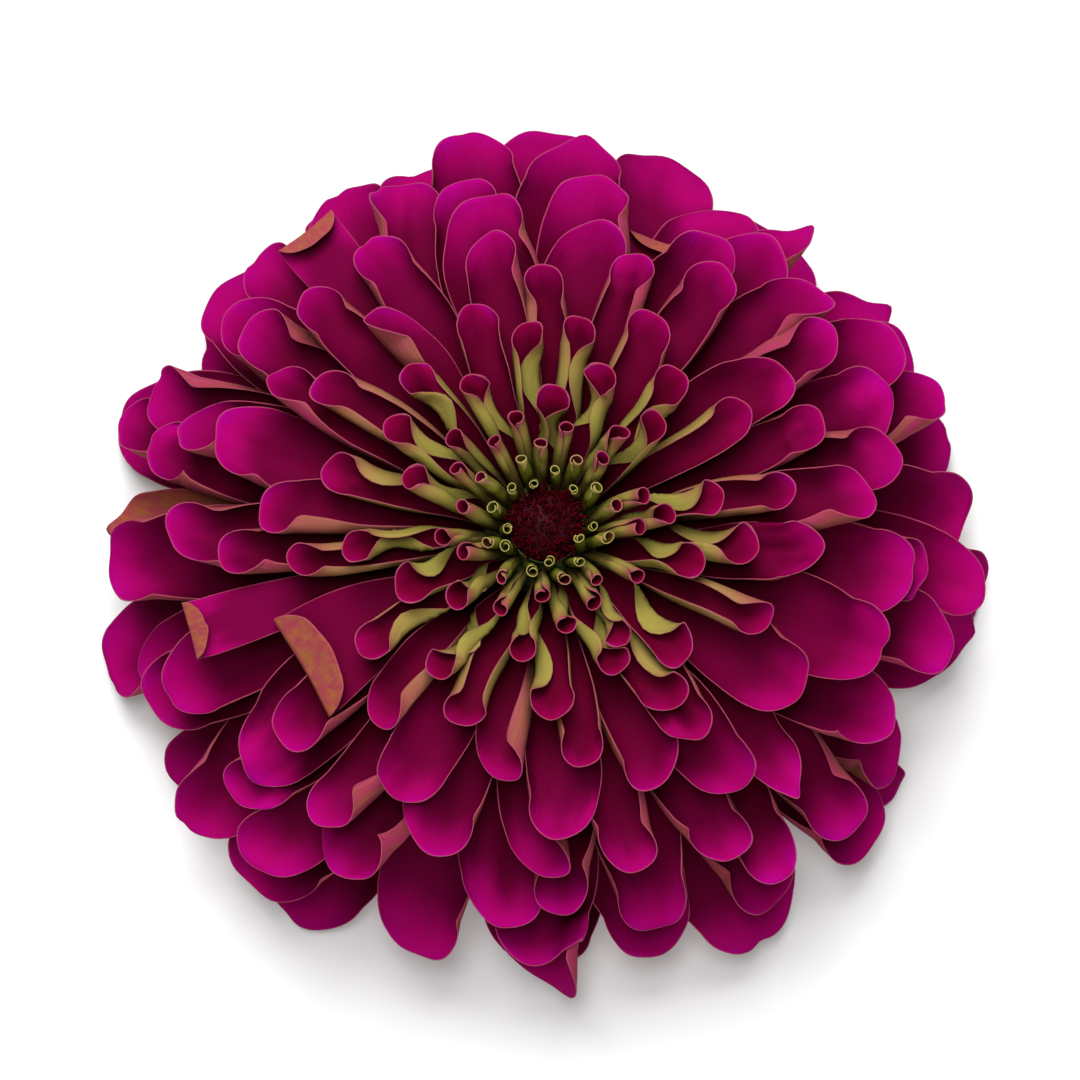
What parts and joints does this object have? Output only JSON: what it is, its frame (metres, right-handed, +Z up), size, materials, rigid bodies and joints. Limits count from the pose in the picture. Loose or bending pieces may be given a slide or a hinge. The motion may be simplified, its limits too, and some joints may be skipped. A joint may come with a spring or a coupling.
{
  "type": "zinnia flower",
  "caption": "Fully double zinnia flower head with overlapping magenta ray florets in a dome, yellow-green quills round a dark disc, green bracts and a short cut stem.",
  "frame": {"origin": "on the surface that the flower rests on, under the middle of its bounding box", "axes": "+Z up along the flower's axis, from the cut stem to the disc; X and Y across the flower"},
  "size_m": [0.1058, 0.1032, 0.0399],
  "materials": {
    "outer_petal": "velvety, magenta",
    "inner_petal": "velvety, crimson",
    "quill": "satin, yellow-green",
    "disc": "matte, dark maroon",
    "bract": "matte, green",
    "stem": "satin, green"
  },
  "bodies": {
    "root": {"stem_and_receptacle": "stem", "involucre": "bract", "disc_florets": "disc", "ray_floret_01": "outer_petal", "ray_floret_02": "outer_petal", "ray_floret_03": "outer_petal", "ray_floret_04": "outer_petal", "ray_floret_05": "outer_petal", "ray_floret_06": "outer_petal", "ray_floret_07": "outer_petal", "ray_floret_08": "outer_petal", "ray_floret_09": "outer_petal", "ray_floret_10": "outer_petal", "ray_floret_11": "outer_petal", "ray_floret_12": "outer_petal", "ray_floret_13": "outer_petal", "ray_floret_14": "outer_petal", "ray_floret_15": "outer_petal", "ray_floret_16": "outer_petal", "ray_floret_17": "outer_petal", "ray_floret_18": "outer_petal", "ray_floret_19": "outer_petal", "ray_floret_20": "outer_petal", "ray_floret_21": "outer_petal", "ray_floret_22": "outer_petal", "ray_floret_23": "outer_petal", "ray_floret_24": "outer_petal", "ray_floret_25": "outer_petal", "ray_floret_26": "outer_petal", "ray_floret_27": "outer_petal", "ray_floret_28": "outer_petal", "ray_floret_29": "outer_petal", "ray_floret_30": "outer_petal", "ray_floret_31": "outer_petal", "ray_floret_32": "outer_petal", "ray_floret_33": "outer_petal", "ray_floret_34": "outer_petal", "ray_floret_35": "outer_petal", "ray_floret_36": "outer_petal", "ray_floret_37": "outer_petal", "ray_floret_38": "outer_petal", "ray_floret_39": "outer_petal", "ray_floret_40": "outer_petal", "ray_floret_41": "outer_petal", "ray_floret_42": "outer_petal", "ray_floret_43": "outer_petal", "ray_floret_44": "outer_petal", "ray_floret_45": "outer_petal", "ray_floret_46": "outer_petal", "ray_floret_47": "outer_petal", "ray_floret_48": "outer_petal", "ray_floret_49": "outer_petal", "ray_floret_50": "outer_petal", "ray_whorl_1": "inner_petal", "ray_whorl_2": "inner_petal", "ray_whorl_3": "inner_petal", "ray_whorl_4": "inner_petal", "ray_whorl_5": "inner_petal", "quill_whorl_1": "quill", "quill_whorl_2": "quill"}
  },
  "joints": []
}
